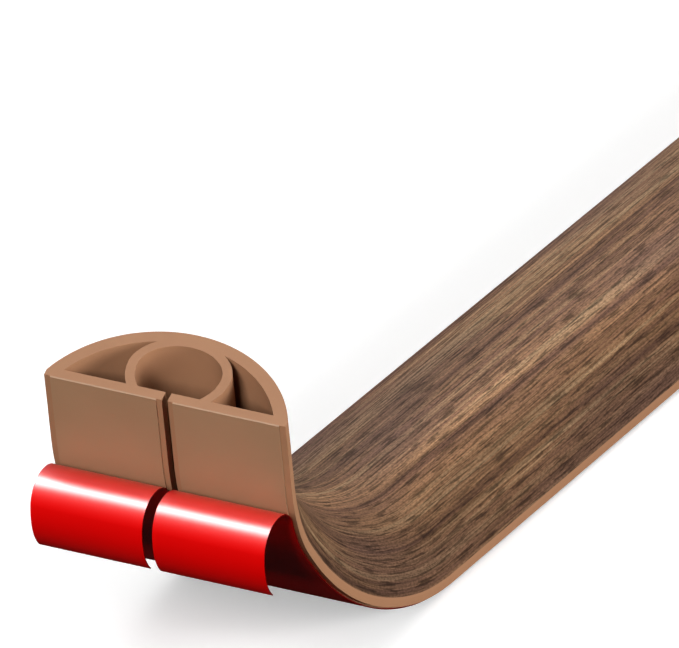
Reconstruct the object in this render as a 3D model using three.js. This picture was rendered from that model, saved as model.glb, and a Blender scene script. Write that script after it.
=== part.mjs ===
// Floor cord cover: a flexible plastic strip with a domed top, a flat split base and a channel for
// cords, kept on its two adhesive tapes and their release liners. It lies on a level floor with one
// end curled up, and there the liners are peeled back.
// Millimetres, +Z up. The strip runs along Y, its far end at +Y, and its width is along X.

import * as THREE from 'three';

// Cover: the length it is cut to, and its section.
const coverLength = 1000;
const coverWidth = 68;
const coverHeight = 25;
const edgeHeight = 2;
const baseWall = 3;
const domeWall = 3.7;
const crownWall = 4.7;
const channelWidth = 23.4;
const channelFloorWidth = 17.4;
const channelRise = 9.3;
const channelWall = 2.6;
const slitWidth = 1.7;

// Tapes and liners, one of each under either half of the base.
const tapeThickness = 0.5;
const tapeSlitMargin = 1.5;
const tapeEdgeMargin = 1.8;
const linerThickness = 0.3;
const linerSlitMargin = 0.6;
const linerEdgeMargin = 1;

// Curled end, from the floor upwards: a first lift, a long sweep, a tighter bend and a straight tip.
const liftRadius = 160;
const liftTurn = THREE.MathUtils.degToRad(12);
const sweepRadius = 250;
const sweepTurn = THREE.MathUtils.degToRad(24.5);
const tipRadius = 72;
const tipTurn = THREE.MathUtils.degToRad(25.5);
const tipLength = 24;

// Peeled liners: the bared length of the base, then the fold, hump, curl and fall of each loose tail.
const peelLength = 36;
const peelFold = THREE.MathUtils.degToRad(9);
const humpRadius = 16.5;
const humpTurn = THREE.MathUtils.degToRad(62);
const curlRadius = 7;
const curlTurn = THREE.MathUtils.degToRad(86);
const fallRadius = 23;
const fallTurn = THREE.MathUtils.degToRad(46);

// Fineness of the facets.
const outlineSegments = 5;
const flatSteps = 6;
const bendStepAngle = THREE.MathUtils.degToRad(4);
const curlStepAngle = THREE.MathUtils.degToRad(12);
const tipSteps = 2;

// The place where the channel's wall meets the dome is closed in on by this many halvings.
const meetingHalvings = 40;

// Section of the cover, drawn in X (across) and Y (height above the base).
const halfWidth = coverWidth / 2;
const domeRise = coverHeight - edgeHeight;
const domeRadius = (halfWidth ** 2 + domeRise ** 2) / (2 * domeRise);
const domeCentre = coverHeight - domeRadius;
const domeEdgeAngle = Math.atan2(edgeHeight - domeCentre, halfWidth);
const channelCentre = coverHeight - crownWall - channelRise;
const channelDrop = channelCentre - baseWall;
const channelBelly = channelDrop / Math.sqrt(1 - (channelFloorWidth / channelWidth) ** 2);
const halfSlit = slitWidth / 2;

// The channel and the outside of its wall are the same egg shape, one wall apart: a flatter arc above
// the widest place and a deeper one below it.
function channelEgg(growth) {
  const across = channelWidth / 2 + growth;
  const rise = channelRise + growth;
  const belly = channelBelly + growth;
  const footAngle = -Math.asin(channelDrop / belly);
  return { across, rise, belly, footAngle, foot: across * Math.cos(footAngle) };
}

// Angle on the egg's upper arc where it runs into the underside of the dome.
function angleAtDome(egg, domeInner) {
  let inside = 0;
  let outside = Math.PI / 2;
  for (let halving = 0; halving < meetingHalvings; halving++) {
    const angle = (inside + outside) / 2;
    const x = egg.across * Math.cos(angle);
    const y = channelCentre + egg.rise * Math.sin(angle);
    if (Math.hypot(x, y - domeCentre) < domeInner) {
      inside = angle;
    } else {
      outside = angle;
    }
  }
  return inside;
}

// Hollow on the right of the channel: base wall, underside of the dome, outside of the channel wall.
function sideHollow() {
  const wall = channelEgg(channelWall);
  const domeInner = domeRadius - domeWall;
  const meetAngle = angleAtDome(wall, domeInner);
  const meetX = wall.across * Math.cos(meetAngle);
  const meetY = channelCentre + wall.rise * Math.sin(meetAngle);
  const domeFootAngle = Math.asin((baseWall - domeCentre) / domeInner);
  const outline = new THREE.Path();
  outline.moveTo(wall.foot, baseWall);
  outline.lineTo(domeInner * Math.cos(domeFootAngle), baseWall);
  outline.absarc(0, domeCentre, domeInner, domeFootAngle, Math.atan2(meetY - domeCentre, meetX), false);
  outline.absellipse(0, channelCentre, wall.across, wall.rise, meetAngle, 0, true);
  outline.absellipse(0, channelCentre, wall.across, wall.belly, 0, wall.footAngle, true);
  return outline.getPoints(outlineSegments);
}

// Whole section: the flat base, edges and dome, then in through the slit and round the channel.
function coverSection() {
  const channel = channelEgg(0);
  const section = new THREE.Shape();
  section.moveTo(halfSlit, 0);
  section.lineTo(halfWidth, 0);
  section.lineTo(halfWidth, edgeHeight);
  section.absarc(0, domeCentre, domeRadius, domeEdgeAngle, Math.PI / 2, false);
  section.absarc(0, domeCentre, domeRadius, Math.PI / 2, Math.PI - domeEdgeAngle, false);
  section.lineTo(-halfWidth, 0);
  section.lineTo(-halfSlit, 0);
  section.lineTo(-halfSlit, baseWall);
  section.lineTo(-channel.foot, baseWall);
  section.absellipse(0, channelCentre, channel.across, channel.belly, Math.PI - channel.footAngle, Math.PI, true);
  section.absellipse(0, channelCentre, channel.across, channel.rise, Math.PI, 0, true);
  section.absellipse(0, channelCentre, channel.across, channel.belly, 0, channel.footAngle, true);
  section.lineTo(halfSlit, baseWall);
  const rightHollow = sideHollow();
  const leftHollow = rightHollow.map((point) => new THREE.Vector2(-point.x, point.y));
  section.holes.push(new THREE.Path(rightHollow), new THREE.Path(leftHollow));
  return section;
}

// Flat band under the base, on the right: from one distance off the middle to another, below the base.
function bandSection(inner, outer, depth, thickness) {
  const section = new THREE.Shape();
  section.moveTo(inner, -depth - thickness);
  section.lineTo(outer, -depth - thickness);
  section.lineTo(outer, -depth);
  section.lineTo(inner, -depth);
  section.closePath();
  return section;
}

function mirrored(section) {
  const points = section.getPoints(outlineSegments).map((point) => new THREE.Vector2(-point.x, point.y));
  return new THREE.Shape(points.reverse());
}

// A station is a place on the cover's base: y, z and the angle at which the strip climbs there.
// This one is reached from the last by an arc that turns evenly, or by a straight where turn is 0.
function onwards(from, length, turn) {
  const chord = turn === 0 ? length : (2 * length * Math.sin(turn / 2)) / turn;
  const heading = from.angle + turn / 2;
  return {
    y: from.y - chord * Math.cos(heading),
    z: from.z + chord * Math.sin(heading),
    angle: from.angle + turn,
  };
}

function arc(radius, turn, stepAngle) {
  return { length: radius * Math.abs(turn), turn, steps: Math.ceil(Math.abs(turn) / stepAngle) };
}

// Stations of a run of stretches, from a first one. Where stopAt is given, a station falls at that
// distance along the run, in place of a regular one that is closer to it than half a step.
function layStations(first, stretches, stopAt) {
  const stations = [{ ...first, along: 0 }];
  let start = first;
  let walked = 0;
  for (const { length, turn, steps } of stretches) {
    const step = length / steps;
    const stops = [];
    for (let count = 1; count <= steps; count++) {
      stops.push(count * step);
    }
    const stop = stopAt - walked;
    if (stop > 0 && stop < length) {
      const near = stops.findIndex((place, index) => index < steps - 1 && Math.abs(place - stop) < step / 2);
      stops.splice(near < 0 ? stops.length : near, near < 0 ? 0 : 1, stop);
      stops.sort((a, b) => a - b);
    }
    for (const place of stops) {
      stations.push({ ...onwards(start, place, (turn * place) / length), along: walked + place });
    }
    start = onwards(start, length, turn);
    walked += length;
  }
  return stations;
}

const curl = [
  arc(liftRadius, liftTurn, bendStepAngle),
  arc(sweepRadius, sweepTurn, bendStepAngle),
  arc(tipRadius, tipTurn, bendStepAngle),
  { length: tipLength, turn: 0, steps: tipSteps },
];
const curlLength = curl.reduce((sum, stretch) => sum + stretch.length, 0);
const flatRun = { length: coverLength - curlLength, turn: 0, steps: flatSteps };
const baseAboveFloor = tapeThickness + linerThickness;
const farEnd = { y: flatRun.length, z: baseAboveFloor, angle: 0 };
const stripStations = layStations(farEnd, [flatRun, ...curl], coverLength - peelLength);

// The liners stay on the strip up to the peel line and then fold away from the base.
const stuckStations = stripStations.filter((station) => station.along <= coverLength - peelLength);
const peelStation = stuckStations[stuckStations.length - 1];
const tail = [
  arc(humpRadius, -humpTurn, curlStepAngle),
  arc(curlRadius, -curlTurn, curlStepAngle),
  arc(fallRadius, -fallTurn, curlStepAngle),
];
const foldedStart = { ...peelStation, angle: peelStation.angle - peelFold };
const tailStations = layStations(foldedStart, tail).slice(1);
const linerStations = [...stuckStations, ...tailStations];

// A section drawn out from station to station, square to the strip at each.
function drawnOut(section, stations) {
  const steps = stations.length - 1;
  const geometry = new THREE.ExtrudeGeometry(section, {
    depth: steps,
    steps,
    bevelEnabled: false,
    curveSegments: outlineSegments,
  });
  const corners = geometry.attributes.position;
  for (let index = 0; index < corners.count; index++) {
    const station = stations[Math.round(corners.getZ(index))];
    const height = corners.getY(index);
    const y = station.y + height * Math.sin(station.angle);
    const z = station.z + height * Math.cos(station.angle);
    corners.setXYZ(index, corners.getX(index), y, z);
  }
  geometry.computeVertexNormals();
  return geometry;
}

const plastic = new THREE.MeshStandardMaterial({ color: 0xb48462, roughness: 0.55, metalness: 0 });
const adhesive = new THREE.MeshStandardMaterial({ color: 0x9a7050, roughness: 0.35, metalness: 0 });
const film = new THREE.MeshStandardMaterial({ color: 0xe00000, roughness: 0.2, metalness: 0 });

const cordCover = new THREE.Group();

function addPiece(name, section, stations, material) {
  const piece = new THREE.Mesh(drawnOut(section, stations), material.clone());
  piece.name = name;
  cordCover.add(piece);
}

addPiece('cover_strip', coverSection(), stripStations, plastic);

const tapeSection = bandSection(halfSlit + tapeSlitMargin, halfWidth - tapeEdgeMargin, 0, tapeThickness);
addPiece('adhesive_tape_right', tapeSection, stripStations, adhesive);
addPiece('adhesive_tape_left', mirrored(tapeSection), stripStations, adhesive);

const linerInner = halfSlit + linerSlitMargin;
const linerOuter = halfWidth - linerEdgeMargin;
const linerSection = bandSection(linerInner, linerOuter, tapeThickness, linerThickness);
addPiece('release_liner_right', linerSection, linerStations, film);
addPiece('release_liner_left', mirrored(linerSection), linerStations, film);

// The origin is on the floor, under the middle of the whole piece.
const box = new THREE.Box3().setFromObject(cordCover);
cordCover.position.y = -(box.min.y + box.max.y) / 2;

export default cordCover;
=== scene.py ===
from math import asin, atan2, ceil, cos, hypot, pi, radians, sin, sqrt

import bmesh
import bpy
from mathutils import Matrix, Vector


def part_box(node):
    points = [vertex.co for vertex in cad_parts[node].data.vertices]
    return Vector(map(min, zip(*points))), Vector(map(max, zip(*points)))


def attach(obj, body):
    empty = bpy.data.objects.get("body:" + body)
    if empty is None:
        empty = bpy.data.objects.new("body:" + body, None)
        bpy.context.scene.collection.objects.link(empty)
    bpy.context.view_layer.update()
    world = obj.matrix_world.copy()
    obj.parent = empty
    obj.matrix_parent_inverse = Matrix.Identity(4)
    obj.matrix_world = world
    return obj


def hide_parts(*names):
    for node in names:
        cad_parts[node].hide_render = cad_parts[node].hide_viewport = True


# Floor cord cover: a domed strip with a wood finish, two adhesive tapes and two red release liners,
# curled up at its near end. Metres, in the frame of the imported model.
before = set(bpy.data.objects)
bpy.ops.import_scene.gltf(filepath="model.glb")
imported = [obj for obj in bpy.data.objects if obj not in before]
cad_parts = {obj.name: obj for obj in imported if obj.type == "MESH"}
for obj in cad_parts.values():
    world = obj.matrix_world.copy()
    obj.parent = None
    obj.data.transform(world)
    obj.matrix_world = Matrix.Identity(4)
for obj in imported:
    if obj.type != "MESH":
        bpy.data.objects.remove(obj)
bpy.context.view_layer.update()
print("frame loaded")

# Where the model lies: the strip's base and far end come from the frame.
coverLow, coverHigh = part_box("cover_strip")
farY = coverHigh[1]
baseZ = coverLow[2]

# The strip's sizes, as the solid has them, and how finely its section is drawn.
cover = {
    "length": 1.0,
    "halfWidth": 0.034,
    "height": 0.025,
    "edgeHeight": 0.002,
    "baseWall": 0.003,
    "domeWall": 0.0037,
    "crownWall": 0.0047,
    "channelHalfWidth": 0.0117,
    "channelFloorHalf": 0.0087,
    "channelRise": 0.0093,
    "channelWall": 0.0026,
    "halfSlit": 0.00085,
    "domeSteps": 72,
    "channelSteps": 80,
    "hollowSteps": 28,
    "meetingHalvings": 40,
    "sharpAngle": radians(30),
}

# Curled end, from the floor upwards: radius and turn of each arc, then the straight tip.
curl = {
    "arcs": [(0.160, radians(12)), (0.250, radians(24.5)), (0.072, radians(25.5))],
    "tip": 0.024,
    "flatSteps": 8,
    "tipSteps": 4,
    "stepAngle": radians(1.0),
}
curlLength = sum(radius * turn for radius, turn in curl["arcs"]) + curl["tip"]
bendY = farY - (cover["length"] - curlLength)

# Camera: direction of view, and the pixel of the picture that holds the start of the bend.
cameraValues = {
    "azimuth": radians(17.74),
    "elevation": radians(19.51),
    "roll": radians(-6.29),
    "distance": 5.43,
    "focalPixels": 20000,
    "imageSize": (679, 648),
    "bendPixel": (336.5, 555.4),
    "sensorWidth": 36.0,
    "farClip": 30,
}


# The camera is made early.
def makeCamera():
    azimuth, elevation, roll = (cameraValues[name] for name in ("azimuth", "elevation", "roll"))
    forward = Vector((-sin(azimuth) * cos(elevation), cos(azimuth) * cos(elevation), -sin(elevation)))
    level = Vector((cos(azimuth), sin(azimuth), 0))
    below = forward.cross(level)
    right = cos(roll) * level + sin(roll) * below
    down = cos(roll) * below - sin(roll) * level
    width, height = cameraValues["imageSize"]
    column, row = cameraValues["bendPixel"]
    focal = cameraValues["focalPixels"]
    place = Vector((0, bendY, baseZ)) - forward * cameraValues["distance"]
    # turned a little, so that the start of the bend falls on its pixel
    forward -= right * (column - width / 2) / focal + down * (row - height / 2) / focal
    forward.normalize()
    right = (right - forward * right.dot(forward)).normalized()
    down = forward.cross(right)
    bpy.ops.object.camera_add()
    camera = bpy.context.object
    turn = Matrix((right, -down, -forward)).transposed().to_4x4()
    camera.matrix_world = Matrix.Translation(place) @ turn
    camera.data.sensor_width = cameraValues["sensorWidth"]
    camera.data.lens = focal / width * cameraValues["sensorWidth"]
    camera.data.clip_end = cameraValues["farClip"]
    bpy.context.scene.camera = camera


makeCamera()
print("camera placed")

# Small distances for drawing and picking, and the slack in a count of steps.
seedSize = 0.001
mergeDistance = 0.000002
samePlace = 0.000001
sameHeight = 0.0000001
stepSlack = 0.000001


# Edit mode helpers: a pen that draws the section at the far end, and picking by place.
def newPiece(name):
    bpy.ops.object.select_all(action="DESELECT")
    bpy.ops.mesh.primitive_plane_add(size=seedSize, location=(0, 0, 0))
    piece = bpy.context.object
    piece.name = piece.data.name = name
    bpy.ops.object.mode_set(mode="EDIT")
    bpy.ops.mesh.select_mode(type="VERT")
    bpy.ops.mesh.select_all(action="SELECT")
    bpy.ops.mesh.delete(type="VERT")
    return piece


def editedMesh():
    return bmesh.from_edit_mesh(bpy.context.edit_object.data)


def pick(test, kind="verts"):
    work = editedMesh()
    work.verts.index_update()
    for parts in (work.verts, work.edges, work.faces):
        for part in parts:
            part.select_set(False)
    for part in getattr(work, kind):
        if test(part):
            part.select_set(True)
    work.select_flush_mode()
    bmesh.update_edit_mesh(bpy.context.edit_object.data)


def pickAt(x, z):
    pick(lambda vert: hypot(vert.co.x - x, vert.co.z - z) < samePlace)


def penAt(x, z):
    bpy.ops.mesh.select_all(action="DESELECT")
    bpy.ops.mesh.primitive_plane_add(size=seedSize, location=(x, farY, z))
    bpy.ops.mesh.merge(type="CENTER")


def drawLines(start, places):
    fromX, fromZ = start
    for x, z in places:
        bpy.ops.mesh.extrude_region_move(TRANSFORM_OT_translate={"value": (x - fromX, 0, z - fromZ)})
        fromX, fromZ = x, z


def drawArc(centreZ, angle, steps):
    centre = (0, farY, centreZ)
    bpy.ops.mesh.spin(steps=steps, angle=angle, center=centre, axis=(0, 1, 0), use_auto_merge=False)


def mergeDoubles():
    bpy.ops.mesh.select_all(action="SELECT")
    bpy.ops.mesh.remove_doubles(threshold=mergeDistance)


# Working lines of the cover's section: the dome is part of a circle, the channel an egg with a
# flatter arc above its widest place and a deeper one below.
domeRise = cover["height"] - cover["edgeHeight"]
domeRadius = (cover["halfWidth"] ** 2 + domeRise ** 2) / (2 * domeRise)
domeCentre = cover["height"] - domeRadius
halfDomeAngle = atan2(cover["halfWidth"], cover["edgeHeight"] - domeCentre)
channelCentre = cover["height"] - cover["crownWall"] - cover["channelRise"]
channelDrop = channelCentre - cover["baseWall"]
channelBelly = channelDrop / sqrt(1 - (cover["channelFloorHalf"] / cover["channelHalfWidth"]) ** 2)


def eggFootAngle(growth):
    return asin(channelDrop / (channelBelly + growth))


def squeezeEgg(first, radius, upper, lower, centre):
    # the round arc drawn since the first vertex gets the egg's two heights
    for side, height in ((1, upper), (-1, lower)):
        pick(lambda vert: vert.index >= first and side * (vert.co.z - centre) > sameHeight)
        bpy.ops.transform.resize(value=(1, 1, height / radius), center_override=(0, farY, centre))


def drawChannelAndOutline():
    centre = baseZ + channelCentre
    base = baseZ + cover["baseWall"]
    edge = baseZ + cover["edgeHeight"]
    radius, foot = cover["channelHalfWidth"], cover["channelFloorHalf"]
    footAngle = eggFootAngle(0)
    first = len(editedMesh().verts)
    penAt(radius * cos(footAngle), centre - radius * sin(footAngle))
    drawArc(centre, pi + 2 * footAngle, cover["channelSteps"])
    squeezeEgg(first, radius, cover["channelRise"], channelBelly, centre)
    pickAt(foot, base)
    slit, wide = cover["halfSlit"], cover["halfWidth"]
    drawLines((foot, base), ((slit, base), (slit, baseZ), (wide, baseZ), (wide, edge)))
    drawArc(baseZ + domeCentre, 2 * halfDomeAngle, cover["domeSteps"])
    drawLines((-wide, edge), ((-wide, baseZ), (-slit, baseZ), (-slit, base), (-foot, base)))


def meetingAngle(across, rise, domeInner):
    # where the outside of the channel's wall runs into the underside of the dome
    inside, outside = 0.0, pi / 2
    for halving in range(cover["meetingHalvings"]):
        angle = (inside + outside) / 2
        x = across * cos(angle)
        z = channelCentre + rise * sin(angle)
        if hypot(x, z - domeCentre) < domeInner:
            inside = angle
        else:
            outside = angle
    return inside


def drawHollows():
    centre = baseZ + channelCentre
    base = baseZ + cover["baseWall"]
    growth = cover["channelWall"]
    radius = cover["channelHalfWidth"] + growth
    rise = cover["channelRise"] + growth
    domeInner = domeRadius - cover["domeWall"]
    meet = meetingAngle(radius, rise, domeInner)
    footAngle = eggFootAngle(growth)
    foot = radius * cos(footAngle)
    first = len(editedMesh().verts)
    penAt(radius * cos(meet), centre + radius * sin(meet))
    drawArc(centre, -(meet + footAngle), cover["hollowSteps"])
    squeezeEgg(first, radius, rise, channelBelly + growth, centre)
    pickAt(foot, base)
    domeFoot = asin((cover["baseWall"] - domeCentre) / domeInner)
    drawLines((foot, base), ((domeInner * cos(domeFoot), base),))
    domeMeet = atan2(channelCentre + rise * sin(meet) - domeCentre, radius * cos(meet))
    drawArc(baseZ + domeCentre, domeMeet - domeFoot, cover["hollowSteps"])
    # the left hollow is the right one mirrored
    pick(lambda vert: vert.index >= first)
    bpy.ops.mesh.duplicate()
    bpy.ops.transform.resize(value=(-1, 1, 1), center_override=(0, 0, 0))


# A section is drawn out along the strip: a flat run, a spin round the centre of each arc, the tip.
def drawOutStraight(angle, length, steps):
    move = (0, -cos(angle) * length / steps, sin(angle) * length / steps)
    for step in range(steps):
        bpy.ops.mesh.extrude_region_move(TRANSFORM_OT_translate={"value": move})


def spinBy(place, angle, radius, turn, stepAngle):
    # place is the y and z of the strip's base line; a turn above 0 climbs, one below 0 falls
    side = 1 if turn > 0 else -1
    centre = (0, place[0] + side * radius * sin(angle), place[1] + side * radius * cos(angle))
    steps = ceil(abs(turn) / stepAngle - stepSlack)
    bpy.ops.mesh.spin(steps=steps, angle=turn, center=centre, axis=(1, 0, 0), use_auto_merge=False)
    after = angle + turn
    return (centre[1] - side * radius * sin(after), centre[2] - side * radius * cos(after)), after


def drawOutStrip(stopShort=0.0):
    pick(lambda face: True, "faces")
    drawOutStraight(0.0, cover["length"] - curlLength, curl["flatSteps"])
    place, angle = (bendY, baseZ), 0.0
    left = curlLength - stopShort
    for radius, turn in curl["arcs"]:
        part = min(turn, left / radius)
        place, angle = spinBy(place, angle, radius, part, curl["stepAngle"])
        left -= part * radius
        if left < samePlace:
            return place, angle
    drawOutStraight(angle, left, curl["tipSteps"])
    return place, angle


def finishMesh(piece, sharpAngle):
    bpy.ops.mesh.select_all(action="SELECT")
    bpy.ops.mesh.normals_make_consistent(inside=False)
    bpy.ops.object.mode_set(mode="OBJECT")
    bpy.ops.object.select_all(action="DESELECT")
    piece.select_set(True)
    bpy.context.view_layer.objects.active = piece
    bpy.ops.object.shade_smooth_by_angle(angle=sharpAngle)


def makeCover():
    piece = newPiece("coverStrip")
    drawChannelAndOutline()
    drawHollows()
    mergeDoubles()
    bpy.ops.mesh.fill(use_beauty=True)
    drawOutStrip()
    finishMesh(piece, cover["sharpAngle"])
    return piece


coverPiece = makeCover()
print("cover modelled:", len(coverPiece.data.polygons), "faces")


# Tapes and liners are thin bands under either half of the base, side -1 on the left and 1 on the right.
def drawBand(side, band, top):
    # one face across the far end
    inner, outer, across = band["inner"], band["outer"], band["across"]
    columns = [side * (inner + (outer - inner) * count / across) for count in range(across + 1)]
    lower = [(x, top - band["thickness"]) for x in columns]
    upper = [(x, top) for x in reversed(columns)]
    penAt(side * inner, top)
    drawLines((side * inner, top), lower + upper)
    mergeDoubles()
    bpy.ops.mesh.edge_face_add()


tape = {"inner": 0.00235, "outer": 0.0322, "thickness": 0.0005, "across": 6, "sharpAngle": radians(30)}


def makeTape(name, side):
    piece = newPiece(name)
    drawBand(side, tape, baseZ)
    drawOutStrip()
    finishMesh(piece, tape["sharpAngle"])
    return piece


# Release liner: bared length, fold at the peel line, then the arcs of the loose tail.
liner = {
    "inner": 0.00145,
    "outer": 0.033,
    "thickness": 0.0003,
    "across": 6,
    "peel": 0.0361,
    "fold": radians(9),
    "tail": [(0.0165, radians(62)), (0.007, radians(86)), (0.023, radians(46))],
    "tailStep": radians(3.0),
    "sharpAngle": radians(40),
}


def makeLiner(name, side):
    piece = newPiece(name)
    drawBand(side, liner, baseZ - tape["thickness"])
    place, angle = drawOutStrip(liner["peel"])
    angle -= liner["fold"]
    for radius, turn in liner["tail"]:
        place, angle = spinBy(place, angle, radius, -turn, liner["tailStep"])
    finishMesh(piece, liner["sharpAngle"])
    return piece


tapePieces = {"left": makeTape("adhesiveTapeLeft", -1), "right": makeTape("adhesiveTapeRight", 1)}
linerPieces = {"left": makeLiner("releaseLinerLeft", -1), "right": makeLiner("releaseLinerRight", 1)}
print("tapes and liners modelled")


# Grain map of the cover: across the dome and along the strip, in metres.
def alongStrip(y, z):
    if y >= bendY:
        return farY - y, z - baseZ
    place, angle, walked = (bendY, baseZ), 0.0, farY - bendY
    for radius, turn in curl["arcs"]:
        centre = (place[0] + radius * sin(angle), place[1] + radius * cos(angle))
        here = atan2(centre[0] - y, centre[1] - z)
        if here <= angle + turn:
            return walked + radius * (here - angle), radius - hypot(y - centre[0], z - centre[1])
        walked += radius * turn
        angle += turn
        place = (centre[0] - radius * sin(angle), centre[1] - radius * cos(angle))
    dy, dz = y - place[0], z - place[1]
    return walked - dy * cos(angle) + dz * sin(angle), dy * sin(angle) + dz * cos(angle)


def mapStrip(piece):
    grainMap = piece.data.uv_layers.new(name="grain")
    for loop in piece.data.loops:
        x, y, z = piece.data.vertices[loop.vertex_index].co
        along, height = alongStrip(y, z)
        grainMap.data[loop.index].uv = (domeRadius * atan2(x, height - domeCentre), along)


# How far off its line a vertex may be, along or in height, and how far off the dome's circle.
lineSlack = 0.00001
domeSlack = 0.00005


def isDomeFace(face):
    # a face of either end lies at one distance along the strip, one of the dome doesn't
    stations = []
    for index in face.vertices:
        x, y, z = coverPiece.data.vertices[index].co
        along, height = alongStrip(y, z)
        offDome = abs(hypot(x, height - domeCentre) - domeRadius)
        if height < cover["edgeHeight"] - lineSlack or offDome > domeSlack:
            return False
        stations.append(along)
    return max(stations) - min(stations) > lineSlack


# Materials, from procedural nodes. Values named like a node's sockets are set on them directly.
def addNode(tree, kind, **values):
    node = tree.nodes.new(kind)
    for name, value in values.items():
        node.inputs[name].default_value = value
    return node


def newMaterial(name, surface):
    material = bpy.data.materials.new(name)
    material.use_nodes = True
    shader = material.node_tree.nodes["Principled BSDF"]
    for socket, value in surface.items():
        shader.inputs[socket].default_value = value
    return material, material.node_tree, shader


def stretched(tree, vector, scale, place=(0, 0, 0)):
    mapping = addNode(tree, "ShaderNodeMapping", Scale=scale, Location=place)
    tree.links.new(vector, mapping.inputs["Vector"])
    return mapping.outputs["Vector"]


def noiseOn(tree, vector, **values):
    noise = addNode(tree, "ShaderNodeTexNoise", **values)
    tree.links.new(vector, noise.inputs["Vector"])
    return noise.outputs["Fac"]


def rampOn(tree, value, stops):
    ramp = tree.nodes.new("ShaderNodeValToRGB")
    band = ramp.color_ramp
    # added stops start halfway and then get their places
    while len(band.elements) < len(stops):
        band.elements.new(0.5)
    for element, (place, colour) in zip(band.elements, stops):
        element.position = place
        element.color = (*colour, 1)
    tree.links.new(value, ramp.inputs["Fac"])
    return ramp.outputs["Color"]


def mixColours(tree, factor, first, second, blend="MIX"):
    mix = tree.nodes.new("ShaderNodeMix")
    mix.data_type = "RGBA"
    mix.blend_type = blend
    # the colours go in at sockets 6 and 7, and come out at 2
    for value, socket in ((factor, mix.inputs["Factor"]), (first, mix.inputs[6]), (second, mix.inputs[7])):
        if isinstance(value, bpy.types.NodeSocket):
            tree.links.new(value, socket)
        else:
            socket.default_value = value
    return mix.outputs[2]


def mathOn(tree, operation, value, second=0.0):
    node = tree.nodes.new("ShaderNodeMath")
    node.operation = operation
    node.inputs[1].default_value = second
    tree.links.new(value, node.inputs[0])
    return node.outputs["Value"]


def xOf(tree, vector):
    split = tree.nodes.new("ShaderNodeSeparateXYZ")
    tree.links.new(vector, split.inputs["Vector"])
    return split.outputs["X"]


def reliefOn(tree, shader, value, distance):
    bump = addNode(tree, "ShaderNodeBump", Strength=1.0, Distance=distance)
    tree.links.new(value, bump.inputs["Height"])
    tree.links.new(bump.outputs["Normal"], shader.inputs["Normal"])


def grey(value):
    return (value, value, value)


# Plain plastics: a faint mottle between two colours, with a fine relief.
plainLook = {
    "mottleDetail": 4,
    "mottleStops": (0.3, 0.7),
    "reliefNoise": {"Scale": 1800, "Detail": 2},
}
tanPlastic = {
    "colours": ((0.350, 0.176, 0.094), (0.371, 0.188, 0.101)),
    "mottle": 90,
    "relief": 0.00001,
    "surface": {"Roughness": 0.55, "Specular IOR Level": 0.03},
}
tapeFilm = {
    "colours": ((0.345, 0.197, 0.109), (0.365, 0.209, 0.116)),
    "mottle": 60,
    "relief": 0.000008,
    "surface": {"Roughness": 0.45, "Specular IOR Level": 0.08},
}
redFilm = {
    "colours": ((0.79, 0.0, 0.0), (0.83, 0.0, 0.0)),
    "mottle": 25,
    "relief": 0.000002,
    "surface": {"Roughness": 0.42, "Coat Weight": 1.0, "Coat Roughness": 0.38},
}
# the liners' cut edges face sideways and get a painted shade: a near-black red, darker than the film
redFilmEdgePaintedShade = {
    "colours": ((0.10, 0.0, 0.0), (0.13, 0.0, 0.0)),
    "mottle": 25,
    "relief": 0.000002,
    "surface": {"Roughness": 0.5, "Specular IOR Level": 0.1},
    "sideways": 0.9,
}


def plainPlastic(name, look):
    material, tree, shader = newMaterial(name, look["surface"])
    place = tree.nodes.new("ShaderNodeTexCoord").outputs["Object"]
    mottle = noiseOn(tree, place, Scale=look["mottle"], Detail=plainLook["mottleDetail"])
    colour = rampOn(tree, mottle, list(zip(plainLook["mottleStops"], look["colours"])))
    tree.links.new(colour, shader.inputs["Base Color"])
    reliefOn(tree, shader, noiseOn(tree, place, **plainLook["reliefNoise"]), look["relief"])
    return material


# Walnut print on the dome: broad bands and wavy streaks, greyer in patches, with painted light on the
# dome's left side and painted shade on its right side, then darkened by fibres, pores and specks. All of
# it runs along the strip.
walnut = {
    # each layer's scale across and along, in cells a metre, and its noise
    "layers": {
        "bands": ((95, 1.2, 1), {"Detail": 3, "Distortion": 0.15}),
        "streaks": ((520, 2.2, 1), {"Detail": 4, "Roughness": 0.6, "Distortion": 0.1}),
        "patches": ((30, 5, 1), {"Detail": 2}),
        "fibres": ((1700, 6, 1), {"Detail": 3, "Roughness": 0.7}),
        "pores": ((1500, 60, 1), {"Detail": 1}),
        "specks": ((2400, 500, 1), {"Detail": 2}),
    },
    "streakShare": 0.45,
    "bandColours": [
        (0.34, (0.095, 0.045, 0.031)),
        (0.44, (0.325, 0.162, 0.095)),
        (0.52, (0.590, 0.313, 0.155)),
        (0.64, (1.0, 0.680, 0.365)),
    ],
    "greyTint": (0.315, 0.173, 0.121, 1),
    "greyPatches": [(0.42, grey(0.0)), (0.62, grey(0.75))],
    # these bring the dome's width to 0 at its left edge and 1 at its right
    "acrossScale": (11.5, 1, 1),
    "acrossPlace": (0.5, 0, 0),
    # painted light and a greyer painted sheen on the dome's left side, painted shade on its right side
    "acrossPaintedLightAndShade": [
        (0.05, (1.55, 1.58, 1.90)),
        (0.4, (0.95, 0.95, 0.97)),
        (0.64, (1.0, 1.0, 1.0)),
        (0.8, (0.52, 0.51, 0.52)),
    ],
    # layer, how strongly it darkens, and its shades
    "darkening": [
        ("fibres", 0.9, [(0.34, grey(0.3)), (0.64, grey(1.0))]),
        ("pores", 0.8, [(0.38, grey(0.3)), (0.47, grey(1.0))]),
        ("specks", 0.9, [(0.32, grey(0.5)), (0.6, grey(1.0))]),
    ],
    "edgeMargin": 0.0007,
    "edgeColour": (0.360, 0.182, 0.098, 1),
    "relief": 0.00003,
    "surface": {"Roughness": 0.6, "Specular IOR Level": 0.08},
}


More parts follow.
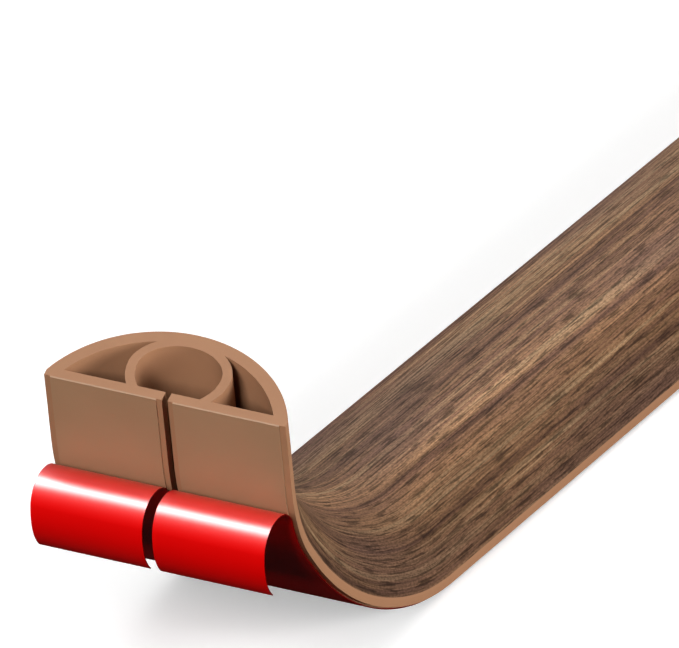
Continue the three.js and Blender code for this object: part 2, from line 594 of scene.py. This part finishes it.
def makeWalnut():
    material, tree, shader = newMaterial("walnutPrint", walnut["surface"])
    grainUv = tree.nodes.new("ShaderNodeUVMap")
    grainUv.uv_map = "grain"
    place = grainUv.outputs["UV"]
    layers = {}
    for name, (scale, noise) in walnut["layers"].items():
        layers[name] = noiseOn(tree, stretched(tree, place, scale), Scale=1.0, **noise)
    soft = mixColours(tree, walnut["streakShare"], layers["bands"], layers["streaks"])
    wood = rampOn(tree, soft, walnut["bandColours"])
    patches = rampOn(tree, layers["patches"], walnut["greyPatches"])
    wood = mixColours(tree, patches, wood, walnut["greyTint"])
    across = xOf(tree, stretched(tree, place, walnut["acrossScale"], walnut["acrossPlace"]))
    # multiplies in the painted light and shade across the dome
    wood = mixColours(tree, 1.0, wood, rampOn(tree, across, walnut["acrossPaintedLightAndShade"]), "MULTIPLY")
    for name, share, shades in walnut["darkening"]:
        wood = mixColours(tree, share, wood, rampOn(tree, layers[name], shades), "MULTIPLY")
    # the print stops just above the strip's edges, where the plastic shows
    fromCrown = mathOn(tree, "ABSOLUTE", xOf(tree, place))
    bare = mathOn(tree, "GREATER_THAN", fromCrown, domeRadius * halfDomeAngle - walnut["edgeMargin"])
    wood = mixColours(tree, bare, wood, walnut["edgeColour"])
    tree.links.new(wood, shader.inputs["Base Color"])
    reliefOn(tree, shader, layers["fibres"], walnut["relief"])
    return material


# the liners' faces that face sideways, which get the painted shade
def isPaintedShadeEdge(face):
    return abs(face.normal.x) > redFilmEdgePaintedShade["sideways"]


def dress(piece, first, second, isSecond):
    piece.data.materials.append(first)
    piece.data.materials.append(second)
    for face in piece.data.polygons:
        face.material_index = int(isSecond(face))


plasticMaterial = plainPlastic("tanPlastic", tanPlastic)
tapeMaterial = plainPlastic("tapeFilm", tapeFilm)
linerMaterial = plainPlastic("redFilm", redFilm)
# painted shade for the liners' cut edges
paintedShadeEdgeMaterial = plainPlastic("redFilmEdgePaintedShade", redFilmEdgePaintedShade)
mapStrip(coverPiece)
dress(coverPiece, plasticMaterial, makeWalnut(), isDomeFace)
for side in ("left", "right"):
    tapePieces[side].data.materials.append(tapeMaterial)
    dress(linerPieces[side], linerMaterial, paintedShadeEdgeMaterial, isPaintedShadeEdge)
print("materials made")

# Floor, lights and surroundings. The floor glows and is white for the camera alone.
studio = {
    "floorSize": 40,
    "floorColour": (0.95, 0.95, 0.95, 1),
    "bounceColour": (0.01, 0.01, 0.01, 1),
    "floorGlow": 0.32,
    "floorSurface": {"Roughness": 0.3, "Specular IOR Level": 0, "Emission Color": (1, 1, 1, 1)},
    "surroundings": (0.085, 0.085, 0.085, 1),
    "mirroredSurroundings": (0.01, 0.01, 0.01, 1),
    "lights": [
        # name, place, aimed at, size, watts, and whether it lights surfaces and shows in gloss
        ("frontLight", (-0.15, -3.0, 1.0), (0, -0.4, 0.05), 0.9, 72, True, False),
        ("highLight", (-0.3, -0.7, 1.7), (0, -0.45, 0.05), 1.4, 150, False, True),
        ("topLight", (0.2, -0.4, 1.9), (0, -0.4, 0), 2.0, 3.5, True, False),
        ("rightLight", (2.0, -0.6, 0.6), (0, -0.3, 0), 1.2, 50, True, False),
        ("backLight", (-0.55, 0.35, 1.15), (0, -0.45, 0.06), 1.2, 4, True, False),
        ("farLight", (-0.9, 2.6, 1.2), (0, 0.1, 0), 1.4, 32, True, False),
    ],
}


def makeFloor():
    bpy.ops.mesh.primitive_plane_add(size=studio["floorSize"], location=(0, 0, 0))
    floor = bpy.context.object
    floor.name = "floor"
    material, tree, shader = newMaterial("floorWhite", studio["floorSurface"])
    seen = tree.nodes.new("ShaderNodeLightPath").outputs["Is Camera Ray"]
    colour = mixColours(tree, seen, studio["bounceColour"], studio["floorColour"])
    tree.links.new(colour, shader.inputs["Base Color"])
    glow = mathOn(tree, "MULTIPLY", seen, studio["floorGlow"])
    tree.links.new(glow, shader.inputs["Emission Strength"])
    floor.data.materials.append(material)


def makeLights():
    for name, place, target, size, watts, onSurfaces, inGloss in studio["lights"]:
        bpy.ops.object.light_add(type="AREA", location=place)
        light = bpy.context.object
        light.name = name
        light.data.size = size
        light.data.energy = watts
        light.rotation_euler = (Vector(target) - Vector(place)).to_track_quat("-Z", "Y").to_euler()
        light.visible_camera = False
        light.visible_diffuse = onSurfaces
        light.visible_glossy = inGloss


def makeSurroundings():
    world = bpy.context.scene.world or bpy.data.worlds.new("surroundings")
    bpy.context.scene.world = world
    world.use_nodes = True
    tree = world.node_tree
    mirrored = tree.nodes.new("ShaderNodeLightPath").outputs["Is Glossy Ray"]
    colour = mixColours(tree, mirrored, studio["surroundings"], studio["mirroredSurroundings"])
    tree.links.new(colour, tree.nodes["Background"].inputs["Color"])


makeFloor()
makeLights()
makeSurroundings()
bpy.context.scene.view_settings.view_transform = "Standard"
print("studio set")

for piece in (coverPiece, *tapePieces.values(), *linerPieces.values()):
    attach(piece, "root")
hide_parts("cover_strip")
for side in ("left", "right"):
    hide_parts("adhesive_tape_" + side)
    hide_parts("release_liner_" + side)
